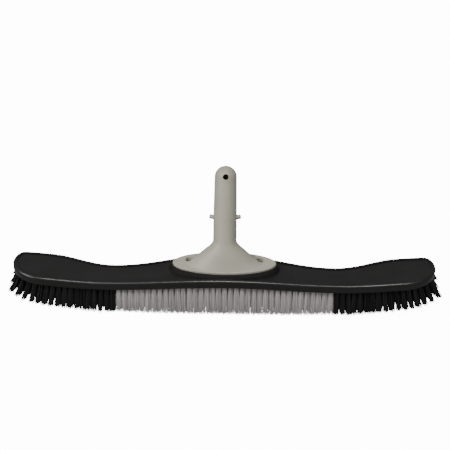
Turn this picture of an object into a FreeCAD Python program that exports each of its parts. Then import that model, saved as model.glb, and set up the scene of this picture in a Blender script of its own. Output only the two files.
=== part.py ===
import FreeCAD, Part
import math
import os

"""Pool wall brush: a long waved brush back set with tufts, and a raked pole spigot with a spring clip.

Frame: X along the brush, -Y the front, +Z up.  The origin is on the floor under the middle of the
brush, at the tips of its longest tufts.  All sizes are in millimetres and degrees.
"""

V = FreeCAD.Vector

# ---- Brush back ------------------------------------------------------------------------------------
HALF_LENGTH = 256.0        # middle to the end of the back
FRONT_Y = -28.5            # the straight front edge
MIDDLE_BACK_Y = 26.5       # back edge at the middle, where the back is widest
WAIST_Y = 8.8              # back edge at the waist
WAIST_X = 133.0            # middle to the waist
LOBE_Y = 22.3              # back edge at the end lobes
LOBE_X = 212.0             # where the back edge of the lobe starts
LOBE_END_X = 243.0         # where the lobe's back corner starts
FRONT_CORNER = (40.0, 32.0)   # the front corner's reach along X and along Y
TOP_Z = 51.2               # top of the back at the middle
ARCH_DROP = 5.3            # how far the top falls from the middle to the low point
ARCH_X = 140.0             # middle to the low point
END_RISE = 8.6             # how far the top rises again towards the ends
END_RISE_LENGTH = 125.0    # length of that rise
BACK_THICKNESS = 10.4
TOP_ROUND = 3.3            # rounding of the upper edge
UNDER_ROUND = 0.8          # rounding of the lower edge
RIM_WIDTH = 5.0            # width of the raised rim around the top
RIM_HEIGHT = 1.0

# ---- Tufts -----------------------------------------------------------------------------------------
ROWS = 5
PITCH = 7.1                # tuft to tuft along a row
TUFTS_EACH_SIDE = 35       # pitches from the middle to the last tuft
WHITE_EACH_SIDE = 18       # pitches from the middle to the last white tuft
EDGE_TO_ROW = 5.2          # edge of the back to the outer rows
HOLE_R = 2.0
HOLE_DEPTH = 6.5
ROOT_LENGTH = 1.6          # straight part of a tuft below the back
NECK_LOW_R = 2.1           # a tuft where it merges with its neighbours
SKIRT_THICKNESS = 5.2      # thickness of a row where its tufts have merged
SKIRT_SHARE = 0.55         # share of the free length over which they have merged
TIP_FLAT_X = 50.0          # the tips are level within this distance of the middle
TIP_RISE = 24.0            # how far they rise from there to the ends
TIP_RISE_POWER = 2.4
END_SPREAD = 13.0          # outward lean of the last tufts, measured at the tips
UPRIGHT_X = 60.0           # the tufts within this distance of the middle don't lean sideways
ROW_SPREAD = 4.0           # outward lean of the outer rows, measured at the tips

# ---- Raised seat and handle ------------------------------------------------------------------------
SEAT_HALF = (64.5, 21.8)   # the raised oval seat at its top
SEAT_DRAFT = 1.6
SEAT_HEIGHT = 4.0          # above the middle of the back
PLATE_HALF = (62.4, 20.4)  # the handle's oval plate
PLATE_THICKNESS = 3.0
PLATE_ROUND = 1.2
RAKE = 30.0                # the spigot leans back by this angle
# sections of the flare: height up the spigot, half width in X, half depth, backward tilt
FLARE = ((0.0, 46.0, 19.4, 0.0), (3.5, 38.0, 18.4, 4.0), (8.5, 31.5, 17.2, 10.0), (14.5, 25.2, 16.0, 17.0),
         (20.5, 18.2, 14.8, 24.0))
FLARE_TOP = 27.0           # the flare ends here
LAND_R = 14.2              # the close-fitting lower part of the spigot
LAND_TOP = 50.0
UPPER_R = 13.4             # the spigot tapers to this radius at its rounded tip
SPIGOT_END = 116.6
WALL = 2.8
TIP_HOLE_S = 104.0         # hole in the front wall near the tip
TIP_HOLE_R = 3.4

# ---- Spring clip -----------------------------------------------------------------------------------
HINGE_S = 82.3             # where the legs leave the bend
BEND_R = 4.0               # middle of the strip
STRIP = 0.7
STRIP_WIDTH = 8.0
LEG_ANGLE = 7.4
LEG_START = 0.5            # the leg starts this far from the bend
LEG_END = 33.5
BUTTON_AT = 28.5           # along the leg
BUTTON_R = 3.4             # the button's base, which fills the slot
BASE_LENGTH = 6.3
NUB_R = 2.9                # its nub, which enters the hole of a pole
BUTTON_LENGTH = 11.3       # base and nub
BUTTON_ROUND = 1.9
TAIL_R = 1.3
STOP_R = 1.8               # moulded bar that the bend rests against
SLOT_R = 4.0               # button slots in the spigot wall
SLOT_S = (53.2, 54.8)

# ---- Screws ----------------------------------------------------------------------------------------
SCREW_X = 42.8
SCREW_Y = 4.0
SCREW_R = 2.0
SCREW_LENGTH = 10.0        # under the head
HEAD_R = 3.8
HEAD_HEIGHT = 2.4
RECESS_R = 4.4             # screw recess in the plate
BOSS_R = 6.0
BOSS_DEPTH = 5.0           # below the plate
BOSS_FLOOR = 2.0
FIT = 0.3                  # easy fit of the boss in its socket

SEAT_Z = TOP_Z + SEAT_HEIGHT
PLATE_Z = SEAT_Z + PLATE_THICKNESS
HEAD_Z = SEAT_Z - BOSS_DEPTH + BOSS_FLOOR
SINE = math.sin(math.radians(RAKE))
COSINE = math.cos(math.radians(RAKE))
UP = V(0, 0, 1)
AXIS = V(0, SINE, COSINE)
FORWARD = V(0, -COSINE, SINE)


def wave(x, span):
    """A smooth step from 0 to 1 as x goes from 0 to span."""
    share = min(max(x / span, 0.0), 1.0)
    return (1.0 - math.cos(math.pi * share)) / 2.0


def top_z(x):
    """Height of the top surface of the back."""
    low = TOP_Z - ARCH_DROP * wave(abs(x), ARCH_X)
    return low + END_RISE * wave(abs(x) - ARCH_X, END_RISE_LENGTH)


def under_z(x):
    """Height of the underside of the back."""
    return top_z(x) - BACK_THICKNESS


def tip_z(x):
    """Height of the tuft tips."""
    return TIP_RISE * (max(abs(x) - TIP_FLAT_X, 0.0) / (HALF_LENGTH - TIP_FLAT_X)) ** TIP_RISE_POWER


def rear_y(x):
    """The waved back edge, between its two lobes."""
    middle = MIDDLE_BACK_Y - (MIDDLE_BACK_Y - WAIST_Y) * wave(abs(x), WAIST_X)
    return middle + (LOBE_Y - WAIST_Y) * wave(abs(x) - WAIST_X, LOBE_X - WAIST_X)


def corner(x, start, reach, depth):
    """How far a rounded corner has turned in at x."""
    share = min(max((abs(x) - start) / reach, 0.0), 1.0)
    return depth * (1.0 - math.sqrt(1.0 - share * share))


def row_y(x, row):
    """Where a row of tufts runs, following both edges of the back."""
    end_y = FRONT_Y + FRONT_CORNER[1]
    front = FRONT_Y + corner(x, HALF_LENGTH - FRONT_CORNER[0], FRONT_CORNER[0], FRONT_CORNER[1])
    rear = rear_y(x) - corner(x, LOBE_END_X, HALF_LENGTH - LOBE_END_X, LOBE_Y - end_y)
    share = row / (ROWS - 1.0)
    return front + EDGE_TO_ROW + (rear - front - 2 * EDGE_TO_ROW) * share


def lean(x, row):
    """How far a tuft's tip stands out from its root, in X and Y."""
    outward = END_SPREAD * max(abs(x) - UPRIGHT_X, 0.0) ** 3 / (HALF_LENGTH - UPRIGHT_X) ** 3
    return math.copysign(outward, x), ROW_SPREAD * (2.0 * row / (ROWS - 1) - 1.0)


def row_positions(row):
    """The X of each tuft in a row; every second row is staggered by half a pitch."""
    shift = 0.5 if row % 2 else 0.0
    places = [number + shift for number in range(-TUFTS_EACH_SIDE, TUFTS_EACH_SIDE + 1)]
    return [place * PITCH for place in places if place <= TUFTS_EACH_SIDE]


def curve(points):
    """A smooth edge through the points."""
    line = Part.BSplineCurve()
    line.interpolate(points)
    return line.toShape()


def steps(low, high, count):
    """Evenly spaced values from low to high."""
    return [low + (high - low) * i / (count - 1.0) for i in range(count)]


def quarter(start, tip, end):
    """A quarter of an ellipse that touches the two lines meeting at tip."""
    arc = Part.BezierCurve()
    arc.setPoles([start, tip, end])
    arc.setWeight(2, math.sqrt(0.5))
    return arc.toShape()


def outline(inset=0.0):
    """The plan of the back as one closed wire, or a line that runs inside it."""
    flat_x = HALF_LENGTH - FRONT_CORNER[0]
    turn_y = FRONT_Y + FRONT_CORNER[1]
    front, rear, end = FRONT_Y + inset, LOBE_Y - inset, HALF_LENGTH - inset
    edges = [Part.makeLine(V(-flat_x, front, 0), V(flat_x, front, 0))]
    edges.append(quarter(V(flat_x, front, 0), V(end, front, 0), V(end, turn_y, 0)))
    edges.append(quarter(V(end, turn_y, 0), V(end, rear, 0), V(LOBE_END_X, rear, 0)))
    edges.append(Part.makeLine(V(LOBE_END_X, rear, 0), V(LOBE_X, rear, 0)))
    points = []
    for x in steps(LOBE_X, -LOBE_X, 25):
        slope = (rear_y(x + 0.1) - rear_y(x - 0.1)) / 0.2 if abs(x) < LOBE_X else 0.0
        inward = V(slope, -1, 0).normalize()
        points.append(V(x, rear_y(x), 0) + inward * inset)
    edges.append(curve(points))
    edges.append(Part.makeLine(V(-LOBE_X, rear, 0), V(-LOBE_END_X, rear, 0)))
    edges.append(quarter(V(-LOBE_END_X, rear, 0), V(-end, rear, 0), V(-end, turn_y, 0)))
    edges.append(quarter(V(-end, turn_y, 0), V(-end, front, 0), V(-flat_x, front, 0)))
    return Part.Wire(edges)


def layer(low, high, reach, depth, flat=0.0):
    """A curved slab between two height functions, level below within flat of the middle."""
    xs = steps(-reach, reach, 31)
    left, right = xs[0], xs[-1]
    if flat:
        edges = [curve([V(x, -depth, low(x)) for x in steps(left, -flat, 16)])]
        edges.append(Part.makeLine(V(-flat, -depth, low(flat)), V(flat, -depth, low(flat))))
        edges.append(curve([V(x, -depth, low(x)) for x in steps(flat, right, 16)]))
    else:
        edges = [curve([V(x, -depth, low(x)) for x in xs])]
    edges.append(Part.makeLine(V(right, -depth, low(right)), V(right, -depth, high(right))))
    edges.append(curve([V(x, -depth, high(x)) for x in reversed(xs)]))
    edges.append(Part.makeLine(V(left, -depth, high(left)), V(left, -depth, low(left))))
    return Part.Face(Part.Wire(edges)).extrude(V(0, 2 * depth, 0))


def oval(half_x, half_y, z):
    """A flat oval wire about the Z axis."""
    return Part.Wire(Part.Ellipse(V(0, 0, z), half_x, half_y).toShape())


def round_wire(radius, middle):
    """A flat circle about the Z axis."""
    return Part.Wire(Part.makeCircle(radius, middle))


def is_on_level(edge, height):
    """True when the middle of the edge lies on the curved level."""
    middle = edge.valueAt((edge.FirstParameter + edge.LastParameter) / 2.0)
    return abs(middle.z - height(middle.x)) < 0.02


def make_back():
    """The brush back with its rim, seat, screw pilots and tuft holes."""
    body = Part.Face(outline()).extrude(V(0, 0, TOP_Z + 40))
    body = body.common(layer(under_z, top_z, HALF_LENGTH + 20, 60))
    body = body.Solids[0]
    body = body.makeFillet(TOP_ROUND, [e for e in body.Edges if is_on_level(e, top_z)])
    body = body.makeFillet(UNDER_ROUND, [e for e in body.Edges if is_on_level(e, under_z)])
    tray = Part.Face(outline(RIM_WIDTH)).extrude(V(0, 0, TOP_Z + 40))
    tray = tray.common(layer(lambda x: top_z(x) - RIM_HEIGHT, lambda x: top_z(x) + 5, HALF_LENGTH + 20, 60))
    body = body.cut(tray)
    seat_low = TOP_Z - 0.6 * BACK_THICKNESS
    grow = SEAT_DRAFT * (SEAT_Z - seat_low) / SEAT_HEIGHT
    seat = Part.makeLoft([oval(SEAT_HALF[0] + grow, SEAT_HALF[1] + grow, seat_low),
                          oval(SEAT_HALF[0], SEAT_HALF[1], SEAT_Z)], True)
    body = body.fuse(seat)
    tools = []
    for side in (-1, 1):
        x = side * SCREW_X
        socket_z = SEAT_Z - BOSS_DEPTH - FIT
        tools.append(Part.makeCylinder(BOSS_R + FIT, SEAT_Z, V(x, SCREW_Y, socket_z)))
        depth = SCREW_LENGTH - BOSS_FLOOR - FIT + 1.0
        tools.append(Part.makeCylinder(SCREW_R, depth + 1, V(x, SCREW_Y, socket_z - depth)))
    for row in range(ROWS):
        for x in row_positions(row):
            start = V(x, row_y(x, row), under_z(x) - 3)
            tools.append(Part.makeCylinder(HOLE_R, HOLE_DEPTH + 3, start))
    return body.cut(Part.makeCompound(tools)).Solids[0]


def make_row(row, low, high):
    """The tufts of a row between two X limits: separate necks that merge into a skirt at the tips."""
    tufts = [x for x in row_positions(row) if low < x < high]
    # the skirt is a leaning band between two flat outlines, trimmed to its curved top and tips
    low_x, high_x = tufts[0] - PITCH / 2 + 0.3, tufts[-1] + PITCH / 2 - 0.3
    xs = steps(low_x, high_x, 15)

    def stands(x, z):
        """The middle of the row above x at height z."""
        share = (under_z(x) - z) / (under_z(x) - tip_z(x))
        dx, dy = lean(x, row)
        return V(x + dx * share, row_y(x, row) + dy * share, z)

    def band(z):
        """The outline of the merged row at height z."""
        sides = []
        for sign in (-1, 1):
            points = []
            for x in xs:
                along_row = stands(x + 0.2, z) - stands(x - 0.2, z)
                across = V(-along_row.y, along_row.x, 0).normalize()
                points.append(stands(x, z) + across * (sign * SKIRT_THICKNESS / 2))
            sides.append(points)
        edges = [curve(sides[0]), Part.makeLine(sides[0][-1], sides[1][-1])]
        edges.append(curve(list(reversed(sides[1]))))
        edges.append(Part.makeLine(sides[1][0], sides[0][0]))
        return Part.Wire(edges)

    def skirt_z(x):
        """Height at which the tufts merge."""
        return tip_z(x) + (under_z(x) - tip_z(x)) * SKIRT_SHARE

    leaning = Part.makeLoft([band(-10.0), band(TOP_Z)], True, True)
    skirt = leaning.common(layer(tip_z, skirt_z, HALF_LENGTH + 30, 60, TIP_FLAT_X)).Solids[0]
    pieces = []
    for x in tufts:
        y = row_y(x, row)
        turn_z = under_z(x) - ROOT_LENGTH
        low = stands(x, skirt_z(x) - 3.0)
        rings = [round_wire(HOLE_R, V(x, y, under_z(x) + HOLE_DEPTH - 0.2)), round_wire(HOLE_R, V(x, y, turn_z)),
                 round_wire(NECK_LOW_R, low)]
        pieces.append(Part.makeLoft(rings, True, True))
    return skirt.multiFuse(pieces).Solids[0]


def up_spigot(s, x=0.0, forward=0.0):
    """A point s up the spigot's axis, x to the side and some way forward."""
    return V(x, 0, PLATE_Z) + AXIS * s + FORWARD * forward


def ring_section(s, half_x, half_y, tilt):
    """An oval section of the flare, tilted back."""
    wire = oval(half_x, half_y, 0)
    wire.Placement = FreeCAD.Placement(up_spigot(s), FreeCAD.Rotation(V(1, 0, 0), -tilt))
    return wire


def make_handle():
    """The pole spigot, its flare and its oval plate as one hollow moulding."""
    plate = Part.Face(oval(PLATE_HALF[0], PLATE_HALF[1], SEAT_Z)).extrude(UP * PLATE_THICKNESS)
    rim = [e for e in plate.Edges if abs(e.CenterOfMass.z - PLATE_Z) < 0.01]
    plate = plate.makeFillet(PLATE_ROUND, rim)
    sections = [ring_section(*row) for row in FLARE]
    sections.append(ring_section(FLARE_TOP, LAND_R, LAND_R, RAKE))
    flare = Part.makeLoft(sections, True)
    dome_s = SPIGOT_END - UPPER_R
    pieces = [flare, Part.makeCylinder(LAND_R, LAND_TOP - FLARE_TOP, up_spigot(FLARE_TOP), AXIS)]
    pieces.append(Part.makeCone(LAND_R, UPPER_R, dome_s - LAND_TOP, up_spigot(LAND_TOP), AXIS))
    pieces.append(Part.makeSphere(UPPER_R, up_spigot(dome_s), AXIS))
    for side in (-1, 1):
        boss_low = V(side * SCREW_X, SCREW_Y, SEAT_Z - BOSS_DEPTH)
        pieces.append(Part.makeCylinder(BOSS_R, BOSS_DEPTH + 1, boss_low))
    body = plate.multiFuse(pieces)
    inner_r = UPPER_R - WALL
    inner_end = dome_s
    bore = Part.makeCylinder(inner_r, inner_end + 20, up_spigot(-20), AXIS)
    hollow = bore.fuse(Part.makeSphere(inner_r, up_spigot(inner_end), AXIS))
    tools = [hollow]
    tools.append(Part.makeCylinder(TIP_HOLE_R, 2 * LAND_R, up_spigot(TIP_HOLE_S), FORWARD))
    for side in (-1, 1):
        for s in SLOT_S:
            tools.append(Part.makeCylinder(SLOT_R, LAND_R + 2, up_spigot(s), V(side, 0, 0)))
        low = up_spigot(SLOT_S[0], 0, -SLOT_R)
        flat = Part.makePolygon([low, low + AXIS * (SLOT_S[1] - SLOT_S[0]),
                                 up_spigot(SLOT_S[1], 0, SLOT_R), up_spigot(SLOT_S[0], 0, SLOT_R), low])
        tools.append(Part.Face(flat).extrude(V(side * (LAND_R + 2), 0, 0)))
        tools.append(Part.makeCylinder(RECESS_R, 40, V(side * SCREW_X, SCREW_Y, HEAD_Z)))
        tools.append(Part.makeCylinder(SCREW_R + 0.15, 20, V(side * SCREW_X, SCREW_Y, HEAD_Z - 15)))
    body = body.cut(Part.makeCompound(tools[:1])).cut(Part.makeCompound(tools[1:2]))
    for tool in tools[2:]:
        body = body.cut(tool)
    stop_s = HINGE_S + BEND_R + STRIP / 2 + STOP_R
    reach = inner_r + WALL / 2
    stop = Part.makeCylinder(STOP_R, 2 * reach, up_spigot(stop_s, 0, -reach), FORWARD)
    return body.fuse(stop).Solids[0]


def strip_piece(points):
    """A piece of the clip's strip from its side outline, given as (x, s) corners."""
    corners = [up_spigot(s, x, -STRIP_WIDTH / 2) for x, s in points]
    return Part.Face(Part.makePolygon(corners + corners[:1])).extrude(FORWARD * STRIP_WIDTH)


def make_bend():
    """The round bend of the spring clip, resting against the moulded bar."""
    def ring_arc(radius):
        """Half a circle about the middle of the bend, on one side of the strip."""
        marks = [up_spigot(HINGE_S, radius, -STRIP_WIDTH / 2),
                 up_spigot(HINGE_S + radius, 0, -STRIP_WIDTH / 2),
                 up_spigot(HINGE_S, -radius, -STRIP_WIDTH / 2)]
        return Part.Arc(marks[0], marks[1], marks[2]).toShape(), marks
    outer, outer_marks = ring_arc(BEND_R + STRIP / 2)
    inner, inner_marks = ring_arc(BEND_R - STRIP / 2)
    ends = [Part.makeLine(outer_marks[2], inner_marks[2]), Part.makeLine(inner_marks[0], outer_marks[0])]
    return Part.Face(Part.Wire([outer, ends[0], inner, ends[1]])).extrude(FORWARD * STRIP_WIDTH)


def leg_point(side, down, out):
    """The (x, s) of a point down the leg and out from the middle of its strip."""
    sine = math.sin(math.radians(LEG_ANGLE))
    cosine = math.cos(math.radians(LEG_ANGLE))
    return side * (BEND_R + down * sine + out * cosine), HINGE_S - down * cosine + out * sine


def at_leg(side, down, out):
    """The same point in space, on the middle line of the strip's width."""
    x, s = leg_point(side, down, out)
    return up_spigot(s, x)


def make_leg(side):
    """A straight leg of the clip, with the hole for its button's tail."""
    half = STRIP / 2
    corners = [(LEG_START, -half), (LEG_START, half), (LEG_END, half), (LEG_END, -half)]
    leg = strip_piece([leg_point(side, down, out) for down, out in corners])
    way = at_leg(side, BUTTON_AT, 1) - at_leg(side, BUTTON_AT, 0)
    return leg.cut(Part.makeCylinder(TAIL_R, 4, at_leg(side, BUTTON_AT, -2), way)).Solids[0]


def make_button(side):
    """A stepped, round-ended button riveted through its leg."""
    way = at_leg(side, BUTTON_AT, 1) - at_leg(side, BUTTON_AT, 0)
    half = STRIP / 2
    nub = Part.makeCylinder(NUB_R, BUTTON_LENGTH, at_leg(side, BUTTON_AT, half), way)
    tip = at_leg(side, BUTTON_AT, half + BUTTON_LENGTH)
    rim = [e for e in nub.Edges if e.CenterOfMass.distanceToPoint(tip) < 0.01]
    nub = nub.makeFillet(BUTTON_ROUND, rim)
    base = Part.makeCylinder(BUTTON_R, BASE_LENGTH, at_leg(side, BUTTON_AT, half), way)
    tail = Part.makeCylinder(TAIL_R, STRIP + 0.6, at_leg(side, BUTTON_AT, -half - 0.3), way)
    head = Part.makeCylinder(TAIL_R + 0.9, 0.7, at_leg(side, BUTTON_AT, -half - 0.7), way)
    return nub.multiFuse([base, tail, head]).Solids[0]


def make_screw(side):
    """A pan-head screw with a cross recess."""
    base = V(side * SCREW_X, SCREW_Y, HEAD_Z)
    head = Part.makeCylinder(HEAD_R, HEAD_HEIGHT, base)
    rim = [e for e in head.Edges if abs(e.CenterOfMass.z - HEAD_Z - HEAD_HEIGHT) < 0.01]
    head = head.makeFillet(1.1, rim)
    shank = Part.makeCylinder(SCREW_R, SCREW_LENGTH - 2.0, base - UP * (SCREW_LENGTH - 2.0))
    point = Part.makeCone(0.4, SCREW_R, 2.0, base - UP * SCREW_LENGTH)
    screw = head.multiFuse([shank, point])
    for size in ((4.2, 0.9), (0.9, 4.2)):
        low = V(base.x - size[0] / 2, base.y - size[1] / 2, HEAD_Z + HEAD_HEIGHT - 1.4)
        screw = screw.cut(Part.makeBox(size[0], size[1], 3, low))
    return screw.Solids[0]


def make_all():
    """Every piece by its node name."""
    parts = {"brush_back": make_back(), "handle": make_handle(), "clip_bend": make_bend()}
    white = (WHITE_EACH_SIDE + 0.25) * PITCH
    for row in range(ROWS):
        number = row + 1
        parts["white_tufts_row_%d" % number] = make_row(row, -white, white)
        left = make_row(row, -HALF_LENGTH, -white)
        parts["black_tufts_left_row_%d" % number] = left
        parts["black_tufts_right_row_%d" % number] = left.mirror(V(0, 0, 0), V(1, 0, 0))
    for name, side in (("left", -1), ("right", 1)):
        parts["clip_leg_" + name] = make_leg(side)
        parts["button_" + name] = make_button(side)
    parts["handle_screws"] = Part.makeCompound([make_screw(-1), make_screw(1)])
    return parts


os.makedirs("parts", exist_ok=True)
for node, shape in make_all().items():
    shape.exportStep("parts/" + node + ".step")
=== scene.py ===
"""Looks of a pool wall brush: tufts of nylon filaments under a moulded back, and a raked grey pole spigot."""

from __future__ import annotations

import logging
import math
import random
from dataclasses import dataclass, field
from enum import Enum

import bmesh
import bpy
from mathutils import Matrix, Vector

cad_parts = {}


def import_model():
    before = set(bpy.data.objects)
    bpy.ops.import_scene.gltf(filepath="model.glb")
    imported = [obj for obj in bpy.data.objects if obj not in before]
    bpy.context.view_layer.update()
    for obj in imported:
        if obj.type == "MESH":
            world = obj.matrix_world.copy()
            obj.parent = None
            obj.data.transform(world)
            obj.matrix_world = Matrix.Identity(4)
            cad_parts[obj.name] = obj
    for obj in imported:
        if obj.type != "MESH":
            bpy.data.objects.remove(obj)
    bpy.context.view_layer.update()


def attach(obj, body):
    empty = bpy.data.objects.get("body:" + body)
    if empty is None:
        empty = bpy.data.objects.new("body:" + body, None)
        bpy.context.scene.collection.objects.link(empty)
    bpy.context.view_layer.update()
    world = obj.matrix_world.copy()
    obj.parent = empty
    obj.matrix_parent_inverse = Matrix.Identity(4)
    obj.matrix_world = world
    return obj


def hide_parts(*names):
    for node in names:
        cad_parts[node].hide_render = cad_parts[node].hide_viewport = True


LOG = logging.getLogger("wall_brush")
MM = 0.001


# ---- Shader maths ----------------------------------------------------------------------------------


class Value:
    """A shader socket that can be used in Python sums."""

    def __init__(self, shader: "Shader", socket: bpy.types.NodeSocket) -> None:
        """Keeps the socket and the shader it belongs to.

        Args:
            shader: The material it is part of.
            socket: The output to read.
        """
        self.shader = shader
        self.socket = socket

    def _math(self, operation: str, *terms: "Value | float") -> "Value":
        """Adds a Math node.

        Args:
            operation: The node's operation.
            terms: Its inputs in order.

        Returns:
            The node's output.
        """
        return self.shader.add("ShaderNodeMath", {"operation": operation}, dict(enumerate(terms)))

    def __add__(self, other: "Value | float") -> "Value":
        """Sum."""
        return self._math("ADD", self, other)

    def __radd__(self, other: float) -> "Value":
        """Sum, number first."""
        return self._math("ADD", other, self)

    def __sub__(self, other: "Value | float") -> "Value":
        """Difference."""
        return self._math("SUBTRACT", self, other)

    def __rsub__(self, other: float) -> "Value":
        """Difference, number first."""
        return self._math("SUBTRACT", other, self)

    def __mul__(self, other: "Value | float") -> "Value":
        """Product."""
        return self._math("MULTIPLY", self, other)

    def __rmul__(self, other: float) -> "Value":
        """Product, number first."""
        return self._math("MULTIPLY", other, self)

    def clamp(self) -> "Value":
        """The value held between 0 and 1."""
        return self._math("MINIMUM", self._math("MAXIMUM", self, 0.0), 1.0)

    def ramp(self, low: float, high: float) -> "Value":
        """A straight rise from 0 at low to 1 at high, level outside.

        Args:
            low: Where the rise starts.
            high: Where it ends.

        Returns:
            The risen value.
        """
        return ((self - low) * (1.0 / (high - low))).clamp()


class Shader:
    """One procedural material under construction."""

    def __init__(self, name: str) -> None:
        """Starts an empty node tree with a Principled BSDF.

        Args:
            name: The material's name.
        """
        self.material = bpy.data.materials.new(name)
        self.material.use_nodes = True
        self.tree = self.material.node_tree
        self.tree.nodes.clear()
        self.surface = self.tree.nodes.new("ShaderNodeBsdfPrincipled")
        output = self.tree.nodes.new("ShaderNodeOutputMaterial")
        self.tree.links.new(self.surface.outputs["BSDF"], output.inputs["Surface"])

    def add(self, kind: str, settings: dict[str, object], sockets: dict, output: int | str = 0) -> Value:
        """Adds one node.

        Args:
            kind: The node's type.
            settings: Its own settings, set before its sockets.
            sockets: Input name or number to a number, colour, vector or Value.
            output: Which output to return.

        Returns:
            The chosen output.
        """
        node = self.tree.nodes.new(kind)
        for key, setting in settings.items():
            setattr(node, key, setting)
        for key, value in sockets.items():
            self.feed(node.inputs[key], value)
        return Value(self, node.outputs[output])

    def feed(self, socket: bpy.types.NodeSocket, value: object) -> None:
        """Links or sets one input.

        Args:
            socket: The input.
            value: A Value to link, or a number, colour or vector to set.
        """
        if isinstance(value, Value):
            self.tree.links.new(value.socket, socket)
        elif isinstance(value, tuple) and len(value) == 3 and socket.type == "RGBA":
            socket.default_value = (*value, 1.0)
        else:
            socket.default_value = value

    def put(self, name: str, value: object) -> None:
        """Sets or links an input of the surface."""
        self.feed(self.surface.inputs[name], value)

    def place(self) -> Value:
        """The point's place on the object, in metres."""
        return self.add("ShaderNodeTexCoord", {}, {}, "Object")

    def own(self, name: str) -> Value:
        """A number that each point of the piece carries itself."""
        return self.add("ShaderNodeAttribute", {"attribute_name": name}, {}, "Fac")

    def noise(self, vector: Value, scale: float, detail: float = 3.0, roughness: float = 0.5) -> Value:
        """Smooth noise.

        Args:
            vector: Where to read it.
            scale: Features per metre.
            detail: Octaves.
            roughness: How strong the finer octaves are.

        Returns:
            The noise, about 0 to 1.
        """
        sockets = {"Vector": vector, "Scale": scale, "Detail": detail, "Roughness": roughness}
        return self.add("ShaderNodeTexNoise", {}, sockets, 0)

    def stretched(self, vector: Value, scale: tuple[float, float, float]) -> Value:
        """The vector with each axis scaled."""
        return self.add("ShaderNodeMapping", {}, {"Vector": vector, "Scale": scale})

    def mix(self, factor: Value | float, first: object, second: object) -> Value:
        """A blend of two colours."""
        settings = {"data_type": "RGBA"}
        return self.add("ShaderNodeMix", settings, {0: factor, 6: first, 7: second}, 2)

    def bump(self, height: Value, strength: float, distance: float) -> None:
        """Feeds a height to the surface's normal.

        Args:
            height: The height, about 0 to 1.
            strength: Share of the full effect.
            distance: Metres that a height of 1 stands for.
        """
        sockets = {"Height": height, "Strength": strength, "Distance": distance}
        self.put("Normal", self.add("ShaderNodeBump", {}, sockets))


# ---- Finishes --------------------------------------------------------------------------------------

Colour = tuple[float, float, float]


@dataclass(frozen=True)
class MouldedPlastic:
    """Injection-moulded plastic with a fine grain, faint flow marks and scuffs.

    The scales are features per metre, and grain is the depth of the surface in metres.
    """

    name: str
    colour: Colour
    shade: Colour
    roughness: float
    gloss_change: float
    grain: float
    cloud_scale: float = 38.0
    flow_scale: tuple[float, float, float] = (9.0, 60.0, 60.0)
    grain_scale: float = 2600.0
    grain_gloss: float = 0.06
    scuff_scale: tuple[float, float, float] = (140.0, 900.0, 500.0)
    scuff_gloss: float = 0.07
    index_of_refraction: float = 1.48

    def make(self) -> bpy.types.Material:
        """Builds the material.

        Returns:
            The material.
        """
        shader = Shader(self.name)
        place = shader.place()
        cloud = shader.noise(place, self.cloud_scale, 4.0)
        flow = shader.noise(shader.stretched(place, self.flow_scale), 1.0, 4.0, 0.6)
        grain = shader.noise(place, self.grain_scale, 2.0)
        scuff = shader.noise(shader.stretched(place, self.scuff_scale), 1.0, 2.0).ramp(0.6, 0.72)
        mottle = (cloud * 0.6 + flow * 0.4).ramp(0.35, 0.65)
        shader.put("Base Color", shader.mix(mottle, self.colour, self.shade))
        rough = self.roughness + (flow - 0.5) * self.gloss_change
        rough = rough + scuff * self.scuff_gloss + (grain - 0.5) * self.grain_gloss
        shader.put("Roughness", rough.clamp())
        shader.put("IOR", self.index_of_refraction)
        shader.bump(grain * 0.75 + cloud * 0.25, 0.5, self.grain)
        return shader.material


@dataclass(frozen=True)
class Nylon:
    """Nylon filaments, with one colour at the roots, another at the tips and a tint for each filament."""

    name: str
    root: Colour
    tip: Colour
    tint: Colour
    roughness: float
    tip_from: float = 0.9
    tint_share: float = 0.7
    gloss_change: float = 0.2

    def make(self) -> bpy.types.Material:
        """Builds the material from the filaments' own numbers.

        Returns:
            The material.
        """
        shader = Shader(self.name)
        tone = shader.own("own")
        body = shader.mix(shader.own("down").ramp(0.0, self.tip_from), self.root, self.tip)
        shader.put("Base Color", shader.mix((tone * self.tint_share).clamp(), body, self.tint))
        shader.put("Roughness", (self.roughness + (tone - 0.5) * self.gloss_change).clamp())
        return shader.material


@dataclass(frozen=True)
class Steel:
    """Stainless steel with a fine grain, drawn out into lines along an axis of smaller scale."""

    name: str
    colour: Colour
    roughness: float
    line_scale: tuple[float, float, float]
    line_depth: float = 0.02 * MM
    stain_scale: float = 300.0
    stain_shade: float = 0.7

    def make(self) -> bpy.types.Material:
        """Builds the material.

        Returns:
            The material.
        """
        shader = Shader(self.name)
        place = shader.place()
        lines = shader.noise(shader.stretched(place, self.line_scale), 1.0, 3.0, 0.6)
        stain = shader.noise(place, self.stain_scale, 3.0)
        dark = tuple(self.stain_shade * part for part in self.colour)
        shader.put("Base Color", shader.mix(stain.ramp(0.4, 0.75), self.colour, dark))
        shader.put("Metallic", 1.0)
        shader.put("Roughness", (self.roughness + (lines - 0.5) * 0.25).clamp())
        shader.bump(lines, 0.3, self.line_depth)
        return shader.material


@dataclass(frozen=True)
class StudioPaper:
    """Plain pale paper under the brush."""

    name: str
    colour: Colour
    glow: float
    roughness: float = 0.9
    fibre_scale: float = 40.0
    fibre_shade: float = 0.985

    def make(self) -> bpy.types.Material:
        """Builds the material.

        Returns:
            The material.
        """
        shader = Shader(self.name)
        fibre = shader.noise(shader.place(), self.fibre_scale, 3.0)
        darker = tuple(self.fibre_shade * part for part in self.colour)
        paper = shader.mix(fibre, self.colour, darker)
        shader.put("Base Color", paper)
        shader.put("Roughness", self.roughness)
        shader.put("Emission Color", paper)
        shader.put("Emission Strength", self.glow)
        return shader.material


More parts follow.
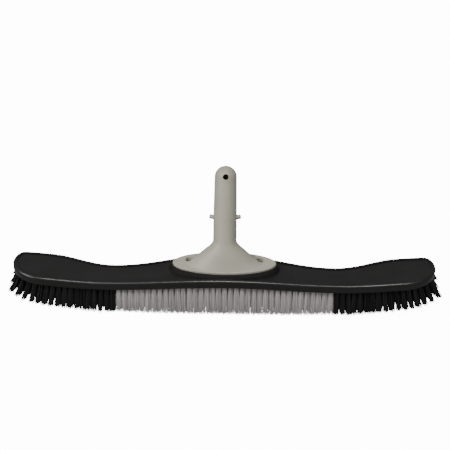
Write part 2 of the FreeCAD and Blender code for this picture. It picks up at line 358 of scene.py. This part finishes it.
WHITE_NYLON = Nylon("white_nylon", (0.52, 0.50, 0.495), (0.40, 0.375, 0.375), (0.62, 0.59, 0.585), 0.45)
BLACK_NYLON = Nylon("black_nylon", (0.003, 0.003, 0.003), (0.006, 0.006, 0.006), (0.012, 0.011, 0.011), 0.5)
BLACK_PLASTIC = MouldedPlastic("black_moulding", (0.008, 0.0075, 0.007), (0.012, 0.011, 0.011), 0.31, 0.08,
                               0.02 * MM)
GREY_PLASTIC = MouldedPlastic("grey_moulding", (0.345, 0.34, 0.265), (0.385, 0.37, 0.305), 0.42, 0.1,
                              0.02 * MM)
CLIP_STEEL = Steel("clip_strip_steel", (0.6, 0.6, 0.59), 0.28, (2600.0, 90.0, 90.0))
SCREW_STEEL = Steel("screw_steel", (0.5, 0.49, 0.47), 0.34, (700.0, 700.0, 700.0))
STUDIO_PAPER = StudioPaper("studio_paper", (0.93, 0.93, 0.93), 14.0)


# ---- The brush -------------------------------------------------------------------------------------


def dress(piece: bpy.types.Object, material: bpy.types.Material) -> None:
    """Gives a piece one material, in place of any that it had."""
    piece.data.materials.clear()
    piece.data.materials.append(material)


class Zone(Enum):
    """The three lengths of each tuft row."""

    WHITE = "white_tufts_row_{}"
    BLACK_LEFT = "black_tufts_left_row_{}"
    BLACK_RIGHT = "black_tufts_right_row_{}"


@dataclass(frozen=True)
class TuftStyle:
    """How the filaments of one colour stand.

    thick is a filament's radius, spread how far a tuft opens at its tips, and reach its length as a share
    of the way to the tips' line. ragged is the loss of length of single filaments, as a share, and stray
    how far they wander sideways.
    """

    filaments: int
    thick: float
    spread: float
    reach: float
    ragged: float
    stray: float
    seed: int


@dataclass
class TuftField:
    """All rows of tufts, each built in its CAD row's place.

    The line of the tips is level within level_x of the middle and rises by tip_rise at the ends.
    """

    rows: int = 5
    hole_r: float = 2.0 * MM
    hole_fill: float = 0.97
    root_length: float = 6.3 * MM
    root_zone: float = 12.0 * MM
    sides: int = 3
    tip_width: float = 0.6
    level_x: float = 50.0 * MM
    tip_rise: float = 24.0 * MM
    tip_power: float = 2.4
    end_spread: float = 13.0 * MM
    upright_x: float = 60.0 * MM
    half_length: float = 256.0 * MM
    end_power: float = 3.0
    row_spread: float = 3.7 * MM
    bend_power: float = 1.15
    curl_power: float = 1.6
    wander: float = 2.5 * MM
    nudge_x: float = 5.0 * MM
    nudge_y: float = 0.3 * MM
    ragged_share: float = 0.4
    variants: int = 8
    levels: tuple[float, ...] = (0.0, 0.15, 0.4, 0.7, 1.0)
    styles: dict[bool, TuftStyle] = field(default_factory=lambda: {
        True: TuftStyle(66, 0.25 * MM, 2.3 * MM, 1.0, 0.008, 0.09, 11),
        False: TuftStyle(60, 0.33 * MM, 1.8 * MM, 1.12, 0.045, 0.13, 23),
    })

    def make_filament(self, style: TuftStyle) -> bpy.types.Mesh:
        """Models one straight filament a metre long with its root at the origin.

        Args:
            style: Gives its thickness.

        Returns:
            A closed mesh that hangs down from the origin, with a narrowed tip.
        """
        bpy.ops.object.select_all(action="DESELECT")
        bpy.ops.mesh.primitive_cylinder_add(vertices=self.sides, radius=style.thick, depth=self.levels[1],
                                            location=(0, 0, -self.levels[1] / 2))
        piece = bpy.context.object
        bpy.ops.object.mode_set(mode="EDIT")
        for above, below in zip(self.levels[1:], self.levels[2:]):
            bpy.ops.mesh.select_all(action="DESELECT")
            self._select_lowest(piece)
            bpy.ops.mesh.extrude_region_move(TRANSFORM_OT_translate={"value": (0, 0, above - below)})
        bpy.ops.transform.resize(value=(self.tip_width, self.tip_width, 1.0))
        bpy.ops.object.mode_set(mode="OBJECT")
        bpy.ops.object.transform_apply(location=True, rotation=True, scale=True)
        mesh = piece.data
        bpy.data.objects.remove(piece)
        return mesh

    @staticmethod
    def _select_lowest(piece: bpy.types.Object) -> None:
        """Selects the lowest face of the mesh that is being edited.

        Args:
            piece: The object in edit mode.
        """
        work = bmesh.from_edit_mesh(piece.data)
        lowest = min(work.faces, key=lambda face: face.calc_center_median().z)
        lowest.select_set(True)
        bmesh.update_edit_mesh(piece.data)

    def make_tuft(self, filament: bpy.types.Mesh, style: TuftStyle, number: int) -> bpy.types.Mesh:
        """Models a tuft of filaments, one unit long, packed at the root and open at the tips.

        Args:
            filament: The straight filament to repeat.
            style: How the filaments stand.
            number: Which of the tuft's variants this is.

        Returns:
            The tuft's mesh, with attributes for how far down a point is and for each filament.
        """
        chance = random.Random(style.seed * 100 + number)
        points: list[tuple[float, float, float]] = []
        faces: list[tuple[int, ...]] = []
        down: list[float] = []
        own: list[float] = []
        for index in range(style.filaments):
            share = math.sqrt((index + 0.5) / style.filaments)
            turn = index * math.pi * (3.0 - math.sqrt(5.0)) + chance.uniform(-0.3, 0.3)
            root = Vector((math.cos(turn), math.sin(turn))) * (self.hole_r - style.thick) * share
            open_by = style.spread * share * chance.uniform(0.7, 1.2)
            wander = Vector((chance.gauss(0, 1), chance.gauss(0, 1))) * style.stray * self.wander
            tip = Vector((math.cos(turn), math.sin(turn))) * open_by + wander
            length = 1.0 - abs(chance.gauss(0, style.ragged))
            twist = Matrix.Rotation(chance.uniform(0, 2.1), 2)
            tone = chance.random()
            start = len(points)
            for vertex in filament.vertices:
                fall = -vertex.co.z
                side = twist @ Vector((vertex.co.x, vertex.co.y))
                bent = root + side + tip * fall ** self.curl_power
                points.append((bent.x, bent.y, -fall * length))
                down.append(fall)
                own.append(tone)
            faces.extend(tuple(start + corner for corner in face.vertices) for face in filament.polygons)
        mesh = bpy.data.meshes.new("tuft")
        mesh.from_pydata(points, [], faces)
        for name, values in (("down", down), ("own", own)):
            mesh.attributes.new(name, "FLOAT", "POINT").data.foreach_set("value", values)
        return mesh

    def roots(self, node: bpy.types.Object) -> list[Vector]:
        """Finds the top of each tuft's root in a CAD row.

        Args:
            node: The CAD row.

        Returns:
            The centres of the flat root tops, in order along X.
        """
        highest = max(vertex.co.z for vertex in node.data.vertices)
        lowest_root = highest - self.root_zone
        tops: list[list[Vector]] = []
        faces = [face for face in node.data.polygons if face.normal.z > 0.999 and face.center.z > lowest_root]
        for face in sorted(faces, key=lambda item: item.center.x):
            corners = [node.data.vertices[corner].co for corner in face.vertices]
            if tops and abs(face.center.x - tops[-1][0].x) < 1.6 * self.hole_r:
                tops[-1].extend(corners)
            else:
                tops.append(list(corners))
        middles = []
        for corners in tops:
            low = Vector(min(corner[axis] for corner in corners) for axis in range(3))
            high = Vector(max(corner[axis] for corner in corners) for axis in range(3))
            middles.append((low + high) / 2)
        return middles

    def tip_height(self, x: float) -> float:
        """Height of the line of the tips at x."""
        share = max(abs(x) - self.level_x, 0.0) / (self.half_length - self.level_x)
        return self.tip_rise * share ** self.tip_power

    def lean(self, x: float, row: int) -> Vector:
        """Works out how far a tip stands out from its root.

        Args:
            x: Where the root is along the brush.
            row: The row's number from the front, from 0.

        Returns:
            The way from the root to the tip, without its fall.
        """
        share = max(abs(x) - self.upright_x, 0.0) / (self.half_length - self.upright_x)
        across = self.row_spread * (2.0 * row / (self.rows - 1) - 1.0)
        return Vector((math.copysign(self.end_spread * share ** self.end_power, x), across, 0.0))

    def make_row(self, zone: Zone, row: int, tufts: list[bpy.types.Mesh],
                 style: TuftStyle) -> bpy.types.Object:
        """Sets a row's tufts in their holes and joins them.

        Args:
            zone: Which length of the row.
            row: The row's number from the front, from 0.
            tufts: The tuft variants.
            style: Their style.

        Returns:
            The row's piece.
        """
        node_name = zone.value.format(row + 1)
        node = bpy.data.objects[node_name]
        chance = random.Random(f"{style.seed} {node_name}")
        bpy.ops.object.select_all(action="DESELECT")
        copies = []
        for top in self.roots(node):
            turn = Matrix.Rotation(chance.uniform(0, 2 * math.pi), 4, "Z")
            mesh = chance.choice(tufts).copy()
            length = min((top.z - self.tip_height(top.x)) * style.reach, top.z)
            length *= 1.0 - style.ragged * self.ragged_share * chance.random()
            lean = self.lean(top.x, row)
            lean.x += chance.gauss(0, style.stray) * self.nudge_x
            lean.y += chance.uniform(-self.nudge_y, self.nudge_y)
            self._set_tuft(mesh, turn, top, length, lean)
            copy = bpy.data.objects.new("tuft", mesh)
            bpy.context.scene.collection.objects.link(copy)
            copy.select_set(True)
            copies.append(copy)
        bpy.context.view_layer.objects.active = copies[0]
        bpy.ops.object.join()
        piece = bpy.context.object
        piece.name = node_name.replace("tufts", "bristles")
        piece.data.name = piece.name
        return piece

    def _set_tuft(self, mesh: bpy.types.Mesh, turn: Matrix, top: Vector, length: float, lean: Vector) -> None:
        """Puts one tuft in its hole, stretched to length and leaning below the back.

        Args:
            mesh: The tuft, one unit long.
            turn: Its turn about its own axis.
            top: The top of its root.
            length: From there to its tips.
            lean: How far its tips stand out from the root.
        """
        root_share = self.root_length / length
        for vertex in mesh.vertices:
            point = turn @ vertex.co
            fall = -point.z
            below = max(fall - root_share, 0.0) / (1.0 - root_share)
            reach = math.hypot(point.x, point.y)
            keep = min(1.0, self.hole_fill * self.hole_r / reach) if below == 0.0 and reach > 0.0 else 1.0
            hang = Vector((point.x * keep, point.y * keep, -fall * length))
            vertex.co = top + hang + lean * below ** self.bend_power

    def build(self) -> None:
        """Builds every row of both colours."""
        for is_white, zones in ((True, (Zone.WHITE,)), (False, (Zone.BLACK_LEFT, Zone.BLACK_RIGHT))):
            style = self.styles[is_white]
            filament = self.make_filament(style)
            tufts = [self.make_tuft(filament, style, number) for number in range(self.variants)]
            material = (WHITE_NYLON if is_white else BLACK_NYLON).make()
            for row in range(self.rows):
                for zone in zones:
                    piece = self.make_row(zone, row, tufts, style)
                    dress(piece, material)
                    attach(piece, "brush")
                    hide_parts(zone.value.format(row + 1))
                    LOG.info("%s: %d faces", piece.name, len(piece.data.polygons))


@dataclass
class Mouldings:
    """The pieces whose CAD shape shows as it is."""

    finishes: dict[str, MouldedPlastic | Steel] = field(default_factory=lambda: {
        "brush_back": BLACK_PLASTIC,
        "handle": GREY_PLASTIC,
        "button_left": GREY_PLASTIC,
        "button_right": GREY_PLASTIC,
        "clip_bend": CLIP_STEEL,
        "clip_leg_left": CLIP_STEEL,
        "clip_leg_right": CLIP_STEEL,
        "handle_screws": SCREW_STEEL,
    })

    def build(self) -> None:
        """Dresses each CAD node, with one material for each finish."""
        made: dict[str, bpy.types.Material] = {}
        for name, finish in self.finishes.items():
            if finish.name not in made:
                made[finish.name] = finish.make()
            dress(bpy.data.objects[name], made[finish.name])
            LOG.info("%s: %s", name, finish.name)


# ---- The studio ------------------------------------------------------------------------------------


@dataclass
class Studio:
    """Pale floor, soft lights and the camera."""

    pitch: float = 37.3
    roll: float = 0.85
    distance: float = 1.30
    aim: tuple[float, float, float] = (0.0, 0.0, 0.1145)
    view_angle: float = 23.0
    floor_size: float = 200.0
    lit_point: tuple[float, float, float] = (0.0, 0.0, 0.05)
    world_light: float = 0.28

    def build(self) -> None:
        """Builds the floor, the lights and the camera."""
        self._make_floor()
        self._make_light("key_light", (-1.5, -0.8, 1.5), 1.2, 36.0)
        self._make_light("top_light", (0.05, -0.8, 2.1), 0.4, 27.0)
        self._make_world()
        self._make_camera()

    def _make_floor(self) -> None:
        """A wide floor at the height the brush rests on."""
        bpy.ops.object.select_all(action="DESELECT")
        bpy.ops.mesh.primitive_plane_add(size=self.floor_size, location=(0, 0, 0))
        floor = bpy.context.object
        floor.name = "floor"
        floor.visible_glossy = False
        floor.visible_diffuse = False
        dress(floor, STUDIO_PAPER.make())

    def _make_light(self, name: str, place: tuple[float, float, float], size: float, power: float) -> None:
        """Hangs a square soft light aimed at the brush.

        Args:
            name: Its name.
            place: Where it hangs.
            size: Its side.
            power: Its power in watts.
        """
        light = bpy.data.lights.new(name, "AREA")
        light.shape = "SQUARE"
        light.size = size
        light.energy = power
        lamp = bpy.data.objects.new(name, light)
        bpy.context.scene.collection.objects.link(lamp)
        lamp.location = place
        way = Vector(self.lit_point) - lamp.location
        lamp.rotation_euler = way.to_track_quat("-Z", "Y").to_euler()

    def _make_world(self) -> None:
        """Even white light from all round."""
        world = bpy.data.worlds.new("studio_world")
        world.use_nodes = True
        background = world.node_tree.nodes["Background"]
        background.inputs["Color"].default_value = (1.0, 1.0, 1.0, 1.0)
        background.inputs["Strength"].default_value = self.world_light
        bpy.context.scene.world = world

    def _make_camera(self) -> None:
        """The camera in front of and above the brush."""
        pitch = math.radians(self.pitch)
        lens = bpy.data.cameras.new("camera")
        lens.angle = math.radians(self.view_angle)
        camera = bpy.data.objects.new("camera", lens)
        bpy.context.scene.collection.objects.link(camera)
        back = Vector((0.0, -math.cos(pitch), math.sin(pitch)))
        camera.location = Vector(self.aim) + back * self.distance
        facing = (-back).to_track_quat("-Z", "Y").to_matrix().to_4x4()
        camera.matrix_world = (Matrix.Translation(camera.location) @ facing
                               @ Matrix.Rotation(math.radians(self.roll), 4, "Z"))
        bpy.context.scene.camera = camera


def main() -> None:
    """Builds the brush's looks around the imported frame."""
    logging.basicConfig(level=logging.INFO, format="%(name)s: %(message)s")
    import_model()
    Mouldings().build()
    TuftField().build()
    Studio().build()


if __name__ == "__main__":
    main()
